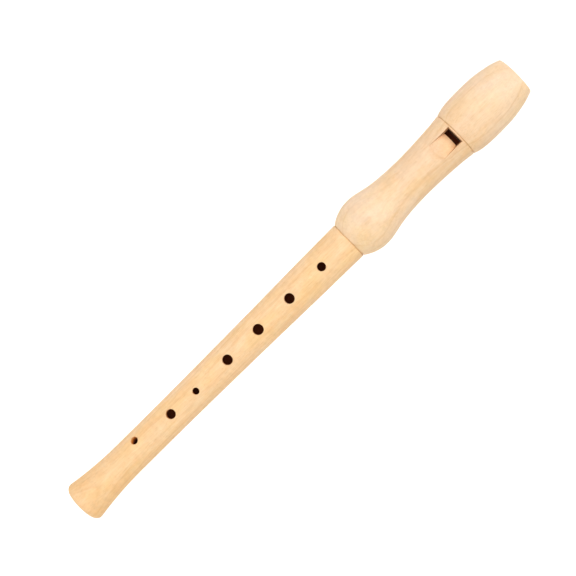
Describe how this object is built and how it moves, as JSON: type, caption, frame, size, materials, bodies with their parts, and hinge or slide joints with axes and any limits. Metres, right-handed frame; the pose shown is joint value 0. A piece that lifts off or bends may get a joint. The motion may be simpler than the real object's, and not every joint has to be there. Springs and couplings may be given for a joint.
{
  "type": "soprano recorder",
  "caption": "Wooden soprano recorder that comes apart at a corked tenon: tube with finger holes and flared foot, head with window and ramp, barrel beak and removable block.",
  "frame": {"origin": "on the instrument's axis at the foot end, in the mouth of the foot bore", "axes": "+X along the instrument's axis towards the mouth end, +Z out of the finger holes and the window, +Y towards the side that the lowest finger hole is turned to"},
  "size_m": [0.3275, 0.032, 0.0317],
  "materials": {
    "body_wood": "smooth oiled maple, satin",
    "head_wood": "smooth oiled maple, satin, a little paler than the body",
    "block_wood": "bare cedar, matt",
    "cork": "greased sheet cork, matt"
  },
  "bodies": {
    "body": {"body_joint": "body_wood"},
    "cork_ring": {"tenon_cork": "cork"},
    "head": {"head_joint": "head_wood", "beak": "head_wood"},
    "block": {"block": "block_wood"}
  },
  "joints": [
    {"name": "head_twist", "type": "hinge", "parent": "body", "child": "cork_ring", "pos_m": [0.2132, 0, 0], "axis": [1, 0, 0], "continuous": true},
    {"name": "head_pull", "type": "slide", "parent": "cork_ring", "child": "head", "axis": [1, 0, 0], "range_m": [0, 0.03]},
    {"name": "block_slide", "type": "slide", "parent": "head", "child": "block", "axis": [1, 0, 0], "range_m": [0, 0.055]}
  ]
}
